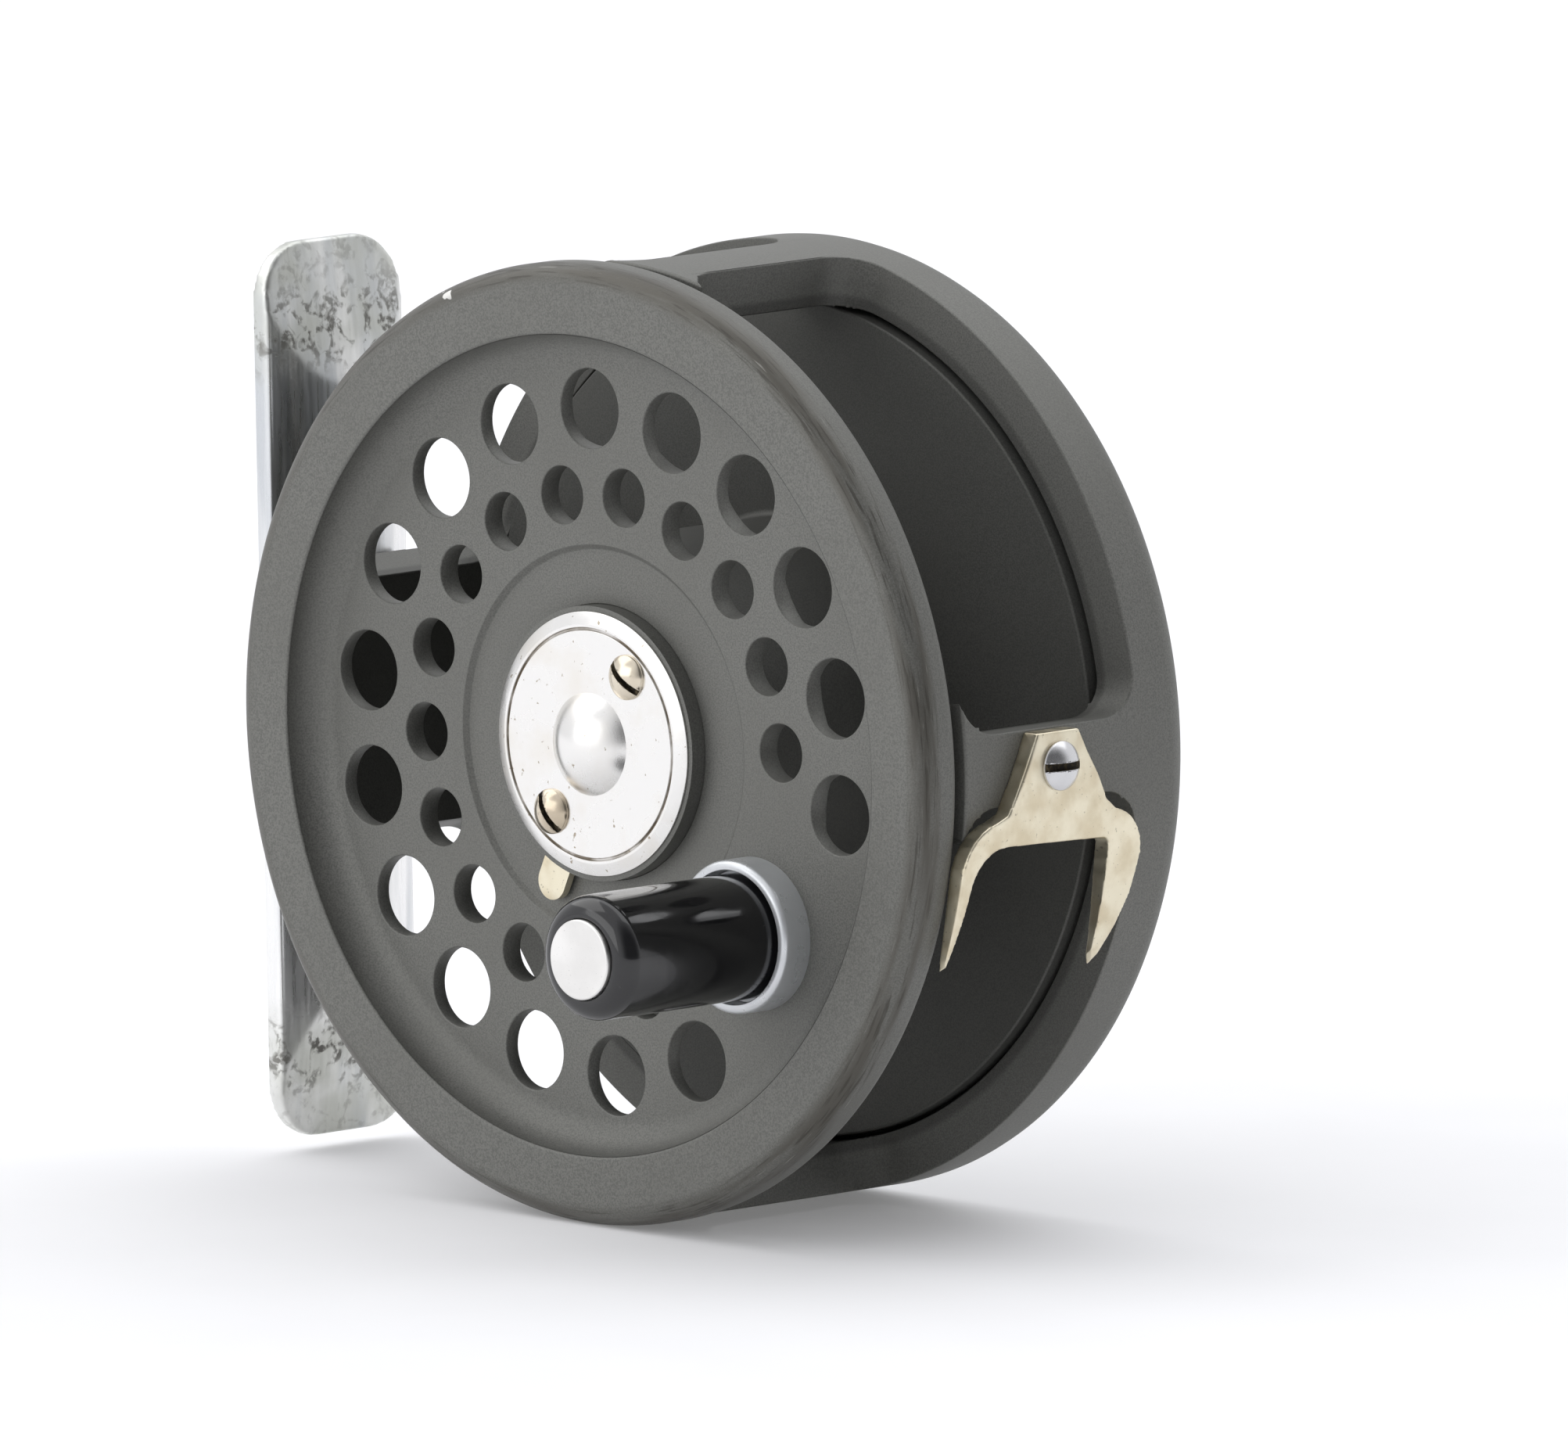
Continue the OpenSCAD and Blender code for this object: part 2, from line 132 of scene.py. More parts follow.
def arc(centre_u, centre_v, radius, start, end, steps=8):
    """Points along an arc, from one angle to another."""
    turns = [math.radians(start + (end - start) * i / steps) for i in range(steps + 1)]
    return [(centre_u + radius * math.cos(a), centre_v + radius * math.sin(a)) for a in turns]


def new_piece(name, bm):
    """A piece made of that bmesh, which is freed."""
    bmesh.ops.recalc_face_normals(bm, faces=bm.faces)
    mesh = bpy.data.meshes.new(name)
    bm.to_mesh(mesh)
    bm.free()
    piece = bpy.data.objects.new(name, mesh)
    bpy.context.scene.collection.objects.link(piece)
    return piece


def revolve(name, profile, place, steps=288, squeeze=None):
    """A closed profile of (radius, height) points, turned about +Z of the place matrix."""
    bm = bmesh.new()
    rings = []
    for radius, height in profile:
        ring = []
        for i in range(steps if radius > 1e-6 else 1):
            a = 2 * math.pi * i / steps
            r = squeeze(radius, a) if squeeze else radius
            ring.append(bm.verts.new(place @ (Vector((r * math.cos(a), r * math.sin(a), height)) * MM)))
        rings.append(ring)
    for ring, following in zip(rings, rings[1:] + rings[:1]):
        if len(ring) == 1 and len(following) == 1:
            continue
        for i in range(steps):
            j = (i + 1) % steps
            corners = [ring[i % len(ring)], ring[j % len(ring)]]
            corners += [following[j % len(following)], following[i % len(following)]]
            bm.faces.new(list(dict.fromkeys(corners)))
    return new_piece(name, bm)


def lathe(name, profile, at=(0, 0), steps=288, squeeze=None):
    """A closed profile of (radius, depth) points, turned about an axis through a (radius, angle)."""
    heights = [(radius, -depth) for radius, depth in profile]
    return revolve(name, heights, facing(at[0], at[1], 0), steps, squeeze)


def drill(radius, low, high, place, steps=64):
    """A cutting cylinder along +Z of the place matrix, from low to high."""
    bm = bmesh.new()
    rod = Matrix.Translation((0, 0, (low + high) / 2 * MM))
    bmesh.ops.create_cone(
        bm, cap_ends=True, segments=steps, radius1=radius * MM,
        radius2=radius * MM, depth=(high - low) * MM, matrix=place @ rod)
    return new_piece("cutter", bm)


def block(low, high, place):
    """A cutting block between two corners in the place's own axes."""
    bm = bmesh.new()
    size = [(b - a) * MM for a, b in zip(low, high)]
    middle = [(a + b) / 2 * MM for a, b in zip(low, high)]
    shape = Matrix.Translation(middle) @ Matrix.Diagonal((*size, 1))
    bmesh.ops.create_cube(bm, size=1, matrix=place @ shape)
    return new_piece("cutter", bm)


def apply_modifiers(piece):
    """Replaces the piece's mesh by what its modifiers make of it."""
    graph = bpy.context.evaluated_depsgraph_get()
    mesh = bpy.data.meshes.new_from_object(piece.evaluated_get(graph))
    piece.modifiers.clear()
    piece.data = mesh


def combine(piece, others, operation):
    """Cuts the others from the piece, adds them to it, or keeps what they share."""
    for other in others:
        change = piece.modifiers.new("combine", "BOOLEAN")
        change.operation = operation
        change.solver = "MANIFOLD"
        change.object = other
    apply_modifiers(piece)
    for other in others:
        bpy.data.objects.remove(other)


def join(pieces):
    """One cutter from several that don't touch."""
    bm = bmesh.new()
    for piece in pieces:
        bm.from_mesh(piece.data)
        bpy.data.objects.remove(piece)
    return new_piece("cutter", bm)


def smooth(piece, bevel=0.0, segments=2, sharp=50, merge=1e-4):
    """Rounds the edges that are still sharp, and shades the rest as one surface."""
    bm = bmesh.new()
    bm.from_mesh(piece.data)
    bmesh.ops.remove_doubles(bm, verts=bm.verts, dist=merge * MM)
    bmesh.ops.dissolve_limit(bm, angle_limit=math.radians(0.15), verts=bm.verts, edges=bm.edges)
    bm.to_mesh(piece.data)
    bm.free()
    if bevel:
        round_off = piece.modifiers.new("edges", "BEVEL")
        round_off.width = bevel * MM
        round_off.segments = segments
        round_off.limit_method = "ANGLE"
        round_off.angle_limit = math.radians(32)
        round_off.use_clamp_overlap = False
        apply_modifiers(piece)
    piece.data.polygons.foreach_set("use_smooth", [True] * len(piece.data.polygons))
    piece.data.set_sharp_from_angle(angle=math.radians(sharp))
    normals = piece.modifiers.new("normals", "WEIGHTED_NORMAL")
    normals.keep_sharp = True
    normals.weight = 80
    return piece


def worn_copy(name, node, voxel, passes):
    """A closed, evenly meshed copy of a CAD node whose edges are rubbed round."""
    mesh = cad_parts[node].data.copy()
    mesh.transform(Matrix.Scale(1 / MM, 4))
    piece = bpy.data.objects.new(name, mesh)
    bpy.context.scene.collection.objects.link(piece)
    weld = piece.modifiers.new("weld", "WELD")
    weld.merge_threshold = 1e-3
    even = piece.modifiers.new("even", "REMESH")
    even.mode = "VOXEL"
    even.voxel_size = voxel
    rub = piece.modifiers.new("rub", "SMOOTH")
    rub.factor = 0.5
    rub.iterations = passes
    apply_modifiers(piece)
    piece.data.transform(Matrix.Scale(MM, 4))
    piece.data.polygons.foreach_set("use_smooth", [True] * len(piece.data.polygons))
    return piece


# ---- Materials ----

class Paint:
    """A Principled material with short calls for the nodes that the finishes share."""

    def __init__(self, name, **sockets):
        self.material = bpy.data.materials.new(name)
        self.material.use_nodes = True
        self.tree = self.material.node_tree
        self.shader = self.tree.nodes["Principled BSDF"]
        for socket, value in sockets.items():
            self.shader.inputs[socket.replace("_", " ")].default_value = value
        self.place = self.node("ShaderNodeTexCoord").outputs["Object"]

    def node(self, kind, **settings):
        made = self.tree.nodes.new(kind)
        for key, value in settings.items():
            setattr(made, key, value)
        return made

    def feed(self, socket, value):
        if isinstance(value, bpy.types.NodeSocket):
            self.tree.links.new(value, socket)
        else:
            socket.default_value = value

    def math(self, operation, a, b=0.0, clamp=False):
        made = self.node("ShaderNodeMath", operation=operation, use_clamp=clamp)
        self.feed(made.inputs[0], a)
        self.feed(made.inputs[1], b)
        return made.outputs[0]

    def noise(self, scale, detail=3.0, vector=None, distortion=0.0):
        made = self.node("ShaderNodeTexNoise")
        self.feed(made.inputs["Vector"], vector or self.place)
        made.inputs["Scale"].default_value = scale
        made.inputs["Detail"].default_value = detail
        made.inputs["Distortion"].default_value = distortion
        return made.outputs["Fac"]

    def step(self, value, low, high, out_low=0.0, out_high=1.0):
        """Goes smoothly from out_low to out_high as the value goes from low to high."""
        made = self.node("ShaderNodeMapRange", interpolation_type="SMOOTHSTEP")
        self.feed(made.inputs["Value"], value)
        for socket, number in zip(("From Min", "From Max", "To Min", "To Max"),
                                  (low, high, out_low, out_high)):
            made.inputs[socket].default_value = number
        return made.outputs["Result"]

    def mix(self, amount, a, b):
        made = self.node("ShaderNodeMix", data_type="RGBA")
        self.feed(made.inputs["Factor"], amount)
        self.feed(made.inputs[6], (*a, 1) if isinstance(a, tuple) else a)
        self.feed(made.inputs[7], (*b, 1) if isinstance(b, tuple) else b)
        return made.outputs[2]

    def about_axis(self):
        """Radius, angle and depth about the spool's axis, in metres and radians."""
        centre = spot(0, 0, 0)
        split = self.node("ShaderNodeSeparateXYZ")
        self.feed(split.inputs[0], self.place)
        x = self.math("SUBTRACT", split.outputs["X"], centre.x)
        z = self.math("SUBTRACT", split.outputs["Z"], centre.z)
        squares = self.math("ADD", self.math("MULTIPLY", x, x), self.math("MULTIPLY", z, z))
        radius = self.math("SQRT", squares)
        depth = self.math("SUBTRACT", split.outputs["Y"], centre.y)
        return radius, self.math("ARCTAN2", z, x), depth

    def around(self, radius, angle, depth, stretch):
        """Coordinates whose pattern is drawn out along the circumference."""
        made = self.node("ShaderNodeCombineXYZ")
        self.feed(made.inputs["X"], self.math("MULTIPLY", angle, RIM_R * MM / stretch))
        self.feed(made.inputs["Y"], radius)
        self.feed(made.inputs["Z"], depth)
        return made.outputs[0]

    def bump(self, height, distance, strength=1.0):
        made = self.node("ShaderNodeBump")
        made.inputs["Strength"].default_value = strength
        made.inputs["Distance"].default_value = distance
        self.feed(made.inputs["Height"], height)
        self.feed(self.shader.inputs["Normal"], made.outputs[0])

    def colour(self, value):
        self.feed(self.shader.inputs["Base Color"], value)

    def roughness(self, value):
        self.feed(self.shader.inputs["Roughness"], value)


def hard_coat(name, worn_rim):
    """Warm grey satin anodising with a fine speckle and painted shade deep inside the reel; a palm has
    rubbed the rim brown.
    """
    paint = Paint(name, Metallic=0.45, Specular_IOR_Level=0.4)
    speckle = paint.noise(7600, 2)
    cloud = paint.noise(90, 4)
    radius, angle, depth = paint.about_axis()
    tone = paint.mix(paint.step(speckle, 0.3, 0.7), (0.130, 0.131, 0.121), (0.200, 0.200, 0.185))
    tone = paint.mix(paint.step(cloud, 0.35, 0.75, 0.0, 0.35), tone, (0.142, 0.141, 0.128))
    gloss = paint.step(speckle, 0.3, 0.7, 0.5, 0.6)
    # Painted shade: surfaces more than about 1.4 mm behind the face plate and inside the cage's bore
    # are darkened towards near-black.
    inside = paint.math("MULTIPLY", paint.step(depth, 1.4 * MM, 3.0 * MM),
                        paint.step(radius, (BORE_R + 1.2) * MM, (BORE_R + 0.6) * MM))
    tone = paint.mix(paint.math("MULTIPLY", inside, 0.42), tone, (0.02, 0.02, 0.018))
    if worn_rim:
        streak = paint.noise(700, 5, paint.around(radius, angle, depth, 9))
        line = paint.noise(4200, 3, paint.around(radius, angle, depth, 16))
        band = paint.math("MULTIPLY", paint.step(radius, (RIM_R - 1.9) * MM, (RIM_R - 0.5) * MM),
                          paint.step(depth, -0.4 * MM, -1.2 * MM))
        rubbed = paint.math("MULTIPLY", band, paint.step(streak, 0.38, 0.62, 0.25, 1.0))
        tone = paint.mix(rubbed, tone, (0.093, 0.088, 0.076))
        scored = paint.math("MULTIPLY", band, paint.step(line, 0.52, 0.68, 0.0, 0.75))
        tone = paint.mix(scored, tone, (0.052, 0.048, 0.040))
        glint = paint.math("MULTIPLY", band, paint.step(line, 0.33, 0.25, 0.0, 0.55))
        tone = paint.mix(glint, tone, (0.34, 0.335, 0.31))
        chip = paint.noise(620, 2, distortion=0.6)
        nick = paint.math("MULTIPLY", band, paint.step(chip, 0.77, 0.785))
        tone = paint.mix(nick, tone, (0.8, 0.79, 0.76))
        gloss = paint.math("SUBTRACT", gloss, paint.math("MULTIPLY", rubbed, 0.16))
    paint.colour(tone)
    paint.roughness(gloss)
    paint.bump(speckle, 0.012 * MM)
    return paint.material


def turned_aluminium():
    """Bright turned cap: fine tool rings, faint stains and pits."""
    paint = Paint("turned_aluminium", Metallic=1.0)
    radius = paint.about_axis()[0]
    rings = paint.node("ShaderNodeTexNoise", noise_dimensions="1D")
    paint.feed(rings.inputs["W"], radius)
    rings.inputs["Scale"].default_value = 9000
    stain = paint.noise(260, 5)
    pit = paint.step(paint.noise(1900, 2), 0.70, 0.74)
    tone = paint.mix(paint.step(stain, 0.45, 0.75, 0.0, 0.5), (0.85, 0.84, 0.82), (0.76, 0.72, 0.65))
    tone = paint.mix(pit, tone, (0.42, 0.37, 0.30))
    off_groove = paint.math("ABSOLUTE", paint.math("SUBTRACT", radius, GROOVE_R * MM))
    grime = paint.step(off_groove, 0.06 * MM, 0.17 * MM, 1.0, 0.0)
    grime = paint.math("MULTIPLY", grime, paint.step(paint.noise(420, 3), 0.3, 0.6, 0.35, 1.0))
    paint.colour(paint.mix(grime, tone, (0.20, 0.165, 0.12)))
    dulled = paint.step(stain, 0.3, 0.7, 0.2, 0.34)
    paint.roughness(paint.math("ADD", dulled, paint.math("MULTIPLY", grime, 0.3)))
    paint.bump(rings.outputs["Fac"], 0.004 * MM, 0.6)
    return paint.material


def cast_polish():
    """Polished foot with long drawn bands that are partly rub marks and partly painted reflections of
    its curved crown, dull ramps, and dark pits where each ramp begins.
    """
    paint = Paint("cast_polish", Metallic=1.0)
    split = paint.node("ShaderNodeSeparateXYZ")
    paint.feed(split.inputs[0], paint.place)
    reach = (_foot_high.z - _foot_low.z) / 2
    along = paint.math("ABSOLUTE", paint.math("SUBTRACT", split.outputs["Z"], AXIS_Z))
    drawn = paint.node("ShaderNodeCombineXYZ")
    paint.feed(drawn.inputs["X"], split.outputs["X"])
    paint.feed(drawn.inputs["Y"], split.outputs["Y"])
    paint.feed(drawn.inputs["Z"], paint.math("MULTIPLY", split.outputs["Z"], 0.06))
    rub = paint.noise(330, 4, drawn.outputs[0])
    hairline = paint.noise(2400, 3, drawn.outputs[0])
    near_end = paint.step(along, reach * 0.66, reach * 0.8)
    ramp_start = paint.step(paint.math("ABSOLUTE", paint.math("SUBTRACT", along, reach * 0.77)),
                            reach * 0.03, reach * 0.17, 1.0, 0.28)
    blotch = paint.noise(640, 10, distortion=1.0)
    fine = paint.noise(1900, 6)
    ramps = paint.math("MULTIPLY", near_end, ramp_start)
    pitted = paint.math("MULTIPLY", ramps, paint.step(blotch, 0.47, 0.62))
    pitted = paint.math("MULTIPLY", pitted, paint.step(fine, 0.36, 0.56))
    dull = paint.math("MULTIPLY", near_end, paint.step(paint.noise(210, 5), 0.35, 0.65, 0.35, 0.9))
    # Bright and bluish-dark bands drawn out along the foot: partly rub marks, partly painted reflection
    # bands of the polished crown.
    tone = paint.mix(paint.step(rub, 0.42, 0.62), (0.90, 0.90, 0.89), (0.60, 0.62, 0.64))
    tone = paint.mix(dull, tone, (0.60, 0.61, 0.56))
    paint.colour(paint.mix(pitted, tone, (0.27, 0.265, 0.245)))
    worn = paint.math("ADD", paint.math("MULTIPLY", dull, 0.16), paint.math("MULTIPLY", pitted, 0.3))
    paint.roughness(paint.math("ADD", worn, paint.step(hairline, 0.3, 0.7, 0.24, 0.36)))
    paint.bump(paint.math("SUBTRACT", paint.math("MULTIPLY", hairline, 0.2), pitted), 0.02 * MM, 0.5)
    return paint.material


def metal(name, bright, dark, rough, grain=700, mottle=180, pits=0.0, metallic=1.0):
    """A bare metal with mottled colour and a fine grain."""
    paint = Paint(name, Metallic=metallic)
    patch = paint.noise(mottle, 6)
    fine = paint.noise(grain, 4)
    tone = paint.mix(paint.step(patch, 0.35, 0.68), bright, dark)
    if pits:
        speck = paint.step(paint.noise(grain * 3, 2), 0.68, 0.74, 0.0, pits)
        tone = paint.mix(speck, tone, tuple(0.35 * c for c in dark))
    paint.colour(tone)
    paint.roughness(paint.step(fine, 0.3, 0.7, rough, rough + 0.12))
    paint.bump(fine, 0.01 * MM, 0.5)
    return paint.material


def black_lacquer():
    """Deep black grip with a hard gloss, faint dust and hairline rubs."""
    paint = Paint("black_lacquer", Coat_Weight=0.3, Coat_Roughness=0.05, Specular_IOR_Level=0.55)
    dust = paint.noise(2600, 2)
    rub = paint.noise(240, 6, distortion=1.0)
    dusty = paint.step(dust, 0.68, 0.76, 0.0, 0.5)
    paint.colour(paint.mix(dusty, (0.006, 0.006, 0.007), (0.05, 0.05, 0.052)))
    paint.roughness(paint.step(rub, 0.4, 0.7, 0.10, 0.22))
    paint.bump(rub, 0.01 * MM, 0.25)
    return paint.material


def floor_white():
    """Matt white light table with a faint tooth."""
    paint = Paint("floor_white", Roughness=0.9, Specular_IOR_Level=0.1, Emission_Strength=0.15)
    paint.shader.inputs["Emission Color"].default_value = (1, 1, 1, 1)
    tooth = paint.noise(60, 4)
    paint.colour(paint.mix(paint.step(tooth, 0.3, 0.7), (0.79, 0.79, 0.805), (0.805, 0.805, 0.82)))
    return paint.material


def slot_dark_fill():
    """Brown-black colour painted into a screw slot, far darker than the head."""
    paint = Paint("slot_dark_fill", Specular_IOR_Level=0.2)
    slot_mottle = paint.noise(3000, 4)
    # The slot's walls and floor are painted near-black with a faint brown mottle.
    paint.colour(paint.mix(paint.step(slot_mottle, 0.4, 0.7), (0.018, 0.014, 0.009), (0.09, 0.07, 0.04)))
    paint.roughness(paint.step(slot_mottle, 0.3, 0.7, 0.6, 0.9))
    paint.bump(slot_mottle, 0.03 * MM)
    return paint.material


FRAME_GREY = hard_coat("frame_hard_coat", False)
SPOOL_GREY = hard_coat("spool_hard_coat", True)
CAP_BRIGHT = turned_aluminium()
FOOT_BRIGHT = cast_polish()
GUARD_SILVER = metal("nickel_silver", (0.80, 0.74, 0.58), (0.66, 0.58, 0.42), 0.3, 1100, 420, 0.5)
SCREW_SILVER = metal("screw_nickel", (0.74, 0.67, 0.55), (0.55, 0.47, 0.36), 0.16, pits=0.4)
STEEL = metal("bright_steel", (0.66, 0.66, 0.67), (0.52, 0.52, 0.53), 0.2)
COLLAR_STEEL = metal("plated_collar", (0.74, 0.76, 0.78), (0.62, 0.64, 0.66), 0.26, metallic=0.6)
PIN_STEEL = metal("brushed_pin", (0.86, 0.85, 0.83), (0.76, 0.75, 0.73), 0.3, grain=1800, pits=0.3)
SPRING_STEEL = metal("blued_spring", (0.30, 0.31, 0.36), (0.2, 0.2, 0.24), 0.25)
BRONZE = metal("pawl_bronze", (0.62, 0.44, 0.24), (0.45, 0.31, 0.16), 0.3)
BRASS = metal("turned_brass", (0.78, 0.60, 0.30), (0.64, 0.47, 0.21), 0.24)
GRIP_BLACK = black_lacquer()
SLOT_DARK_FILL = slot_dark_fill()


def stand_for(piece, node, body, material, second=None):
    """The piece takes the CAD node's place, which it hides, and goes on the body with the material, and
    the second material on faces marked 1.
    """
    second_faces = [face.index for face in piece.data.polygons if face.material_index == 1]
    piece.data.materials.clear()
    piece.data.materials.append(material)
    if second:
        piece.data.materials.append(second)
        for i in second_faces:
            piece.data.polygons[i].material_index = 1
    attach(piece, body)
    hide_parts(node)
    return piece


# ---- Spool ----

HOLE_PLACES = 18
HOLE_RINGS = (
    # circle radius, hole radius, first angle, places left out behind the handle
    (24.95, 3.0, 111.7, (7, 8)),
    (18.65, 2.175, 101.8, (6, 7, 8)),
)


DISH_R = 30.7
COVE_R = 2.6
DRUM_R = 15
FLANGE_FRONT = 19.6
FLANGE_BACK = 20.6
FLANGE_EDGE = 21.4
HUB_BORE_R = 4.2
HUB_TUBE_R = 7
GEAR_SEAT_R = 9.4
HUB_FLOOR = 0.8


def spool_profile():
    """The rim, the face plate's back, the drum, the rear flange, the hub and the cove."""
    flange_r = BORE_R - 0.4
    drum_inside_r = DRUM_R - 1.8
    cove = arc(DISH_R - COVE_R, -COVE_R, COVE_R, 90, 0, 12)
    front = [(DISH_R, -RIM_RISE, 0.25), (RIM_R, -RIM_RISE, 1.7), (RIM_R, LIP_BACK, 1.0),
             (LIP_INSIDE_R, LIP_BACK, 0.08), (LIP_INSIDE_R, RIM_BACK)]
    outside = [(flange_r, RIM_BACK), (flange_r, 1.3, 0.2), (22.6, 1.3), (21.6, 1.9), (DRUM_R, 1.9, 0.6)]
    rear = [(DRUM_R, FLANGE_FRONT, 0.6), (flange_r, FLANGE_FRONT, 0.2),
            (flange_r, FLANGE_EDGE, 0.3), (30.6, FLANGE_EDGE, 0.2), (30.2, FLANGE_BACK)]
    inside = [(drum_inside_r, FLANGE_BACK, 0.15), (drum_inside_r, 1.9), (HUB_TUBE_R, 1.9, 0.3),
              (HUB_TUBE_R, FLANGE_FRONT), (GEAR_SEAT_R, FLANGE_FRONT),
              (GEAR_SEAT_R, FLANGE_BACK, 0.15), (HUB_BORE_R, FLANGE_BACK), (HUB_BORE_R, HUB_FLOOR)]
    hub = [(10.3, HUB_FLOOR), (10.3, 0.4, 0.1), (14.4, 0.4, 0.15), (14.8, 0.0, 0.15)]
    return fillet(front + outside + rear + inside + hub + cove, 6)


def spool():
    piece = lathe("spool_body", spool_profile(), steps=360)
    holes = []
    for ring_r, hole_r, first, left_out in HOLE_RINGS:
        for i in range(HOLE_PLACES):
            if i not in left_out:
                angle = first - 360 / HOLE_PLACES * i
                holes.append(drill(hole_r, -4, 4, facing(ring_r, angle, 0), 72))
    combine(piece, [join(holes)], "DIFFERENCE")
    smooth(piece, 0.12)
    return stand_for(piece, "spool", "spool", SPOOL_GREY)


# ---- Frame ----

WINDOW_FRONT = 2.0
WINDOW_BACK = 20.3
WINDOW_CORNER = 3.4
WINDOW_SPANS = ((4.4, 78.9), (88.1, 162.6), (-78.9, -4.4), (-162.6, -88.1))
SADDLE_HALF = 9.8
RING_FRONT = 0.9
PLATE_FRONT = 23.4
SEAT_FRONT = 22.8
SEAT_R = 9
SPINDLE_BORE_R = 3.04
SHAFT_BORE_R = 1.6


def window_cutter(start, end):
    """A block with rounded corners that stands out radially through the cage wall."""
    bm = bmesh.new()
    round_deg = math.degrees(WINDOW_CORNER / FRAME_R)
    low, high = start + round_deg, end - round_deg
    back, front = WINDOW_BACK - WINDOW_CORNER, WINDOW_FRONT + WINDOW_CORNER
    corners = ((high, back, 0), (low, back, 90), (low, front, 180), (high, front, 270))
    outline = []
    for angle, depth, turn in corners:
        for u, v in arc(0, 0, 1, turn, turn + 90, 10):
            outline.append((angle + u * round_deg, depth + v * WINDOW_CORNER))
        if turn in (0, 180):
            far = low if turn == 0 else high
            steps = 64
            level = outline[-1][1]
            for i in range(1, steps):
                outline.append((angle + (far - angle) * i / steps, level))
    middle = ((start + end) / 2, (WINDOW_FRONT + WINDOW_BACK) / 2)
    walls = []
    for radius in (BORE_R - 4, FRAME_R + 8):
        ring = [bm.verts.new(spot(radius, angle, depth)) for angle, depth in outline]
        hub = bm.verts.new(spot(radius, *middle))
        for a, b in zip(ring, ring[1:] + ring[:1]):
            bm.faces.new((hub, a, b))
        walls.append(ring)
    count = len(outline)
    for i in range(count):
        j = (i + 1) % count
        bm.faces.new((walls[0][i], walls[0][j], walls[1][j], walls[1][i]))
    return new_piece("cutter", bm)


def frame_profile():
    """The front ring, the cage wall, the shallow recess of the back plate and the spindle's seat."""
    floor = FRAME_BACK - 0.5
    return fillet([
        (BORE_R, RING_FRONT, 0.25), (REBATE_R, RING_FRONT, 0.2), (REBATE_R, REBATE_BACK),
        (FRAME_R, REBATE_BACK, 0.25), (FRAME_R, FRAME_BACK, 2.4), (26.2, FRAME_BACK, 0.3),
        (26.0, floor, 0.1), (SPINDLE_BORE_R, floor), (SPINDLE_BORE_R, SEAT_FRONT),
        (SEAT_R, SEAT_FRONT, 0.2), (SEAT_R, PLATE_FRONT), (BORE_R, PLATE_FRONT, 0.5)], 8)


def cage():
    piece = lathe("frame_body", frame_profile(), steps=360)
    combine(piece, [join([window_cutter(*span) for span in WINDOW_SPANS])], "DIFFERENCE")
    row = Matrix.Translation(spot(0, 0, 0))
    foot_crown = (_foot_high.x - AXIS_X) / MM
    saddle = block((foot_crown, 6.6, -SADDLE_HALF), (-BORE_R - 1.5, 18.7, SADDLE_HALF), row)
    combine(piece, [saddle], "UNION")
    shaft_bore = drill(SHAFT_BORE_R, -FRAME_BACK - 1, -22, facing(KNOB_R, KNOB_ANGLE, 0))
    combine(piece, [shaft_bore], "DIFFERENCE")
    smooth(piece, 0.12, 3, merge=0.09)
    return stand_for(piece, "frame", "frame", FRAME_GREY)


# ---- Foot and line guard ----

def foot():
    piece = worn_copy("foot_body", "reel_foot", 0.2, 5)
    return stand_for(piece, "reel_foot", "frame", FOOT_BRIGHT)


def line_guard():
    """The prongs thin towards their tips, from the drum side."""
    piece = worn_copy("guard_body", "line_guard", 0.11, 5)
    outer = FRAME_R + GUARD_T
    for vertex in piece.data.vertices:
        x, z = (vertex.co.x - AXIS_X) / MM, (vertex.co.z - AXIS_Z) / MM
        radius = math.hypot(x, z)
        tip = min(1.0, max(0.0, (-z - PRONG_TAPER[0]) / (PRONG_TAPER[1] - PRONG_TAPER[0])))
        thinned = outer - 0.12 * tip - (outer - radius) * (1 - 0.8 * tip ** 1.5)
        vertex.co.x = AXIS_X + x * thinned / radius * MM
        vertex.co.z = AXIS_Z + z * thinned / radius * MM
    return stand_for(piece, "line_guard", "frame", GUARD_SILVER)


def round_head(name, place, radius, height, slot_turn, slot_w, shank):
    """A domed slotted screw whose head stands on the place's +Z side; its slot is painted near-black.
    """
    side = 0.22
    rise = height - side
    sphere_r = (radius ** 2 + rise ** 2) / (2 * rise)
    dome = [(x, z + height - sphere_r)
            for x, z in arc(0, 0, sphere_r, 90, math.degrees(math.acos(radius / sphere_r)), 14)]
    dome[0] = (0, height)
    profile = dome + [(radius, 0.04), (radius - 0.04, -0.03), (shank, -0.03), (shank, -2.0), (0, -2.0)]
    piece = revolve(name, profile, place, 72)
    turned = place @ Matrix.Rotation(math.radians(slot_turn), 4, "Z")
    slot_floor = height - 0.72
    slot = block((-2 * radius, -slot_w / 2, slot_floor), (2 * radius, slot_w / 2, height + 1), turned)
    combine(piece, [slot], "DIFFERENCE")
    smooth(piece, 0.05, 2)
    local = turned.inverted()
    for face in piece.data.polygons:
        middle = local @ face.center / MM
        in_slot = abs(middle.y) < slot_w / 2 + 0.02 and slot_floor - 0.05 < middle.z
        face.material_index = 1 if in_slot else 0
    return piece


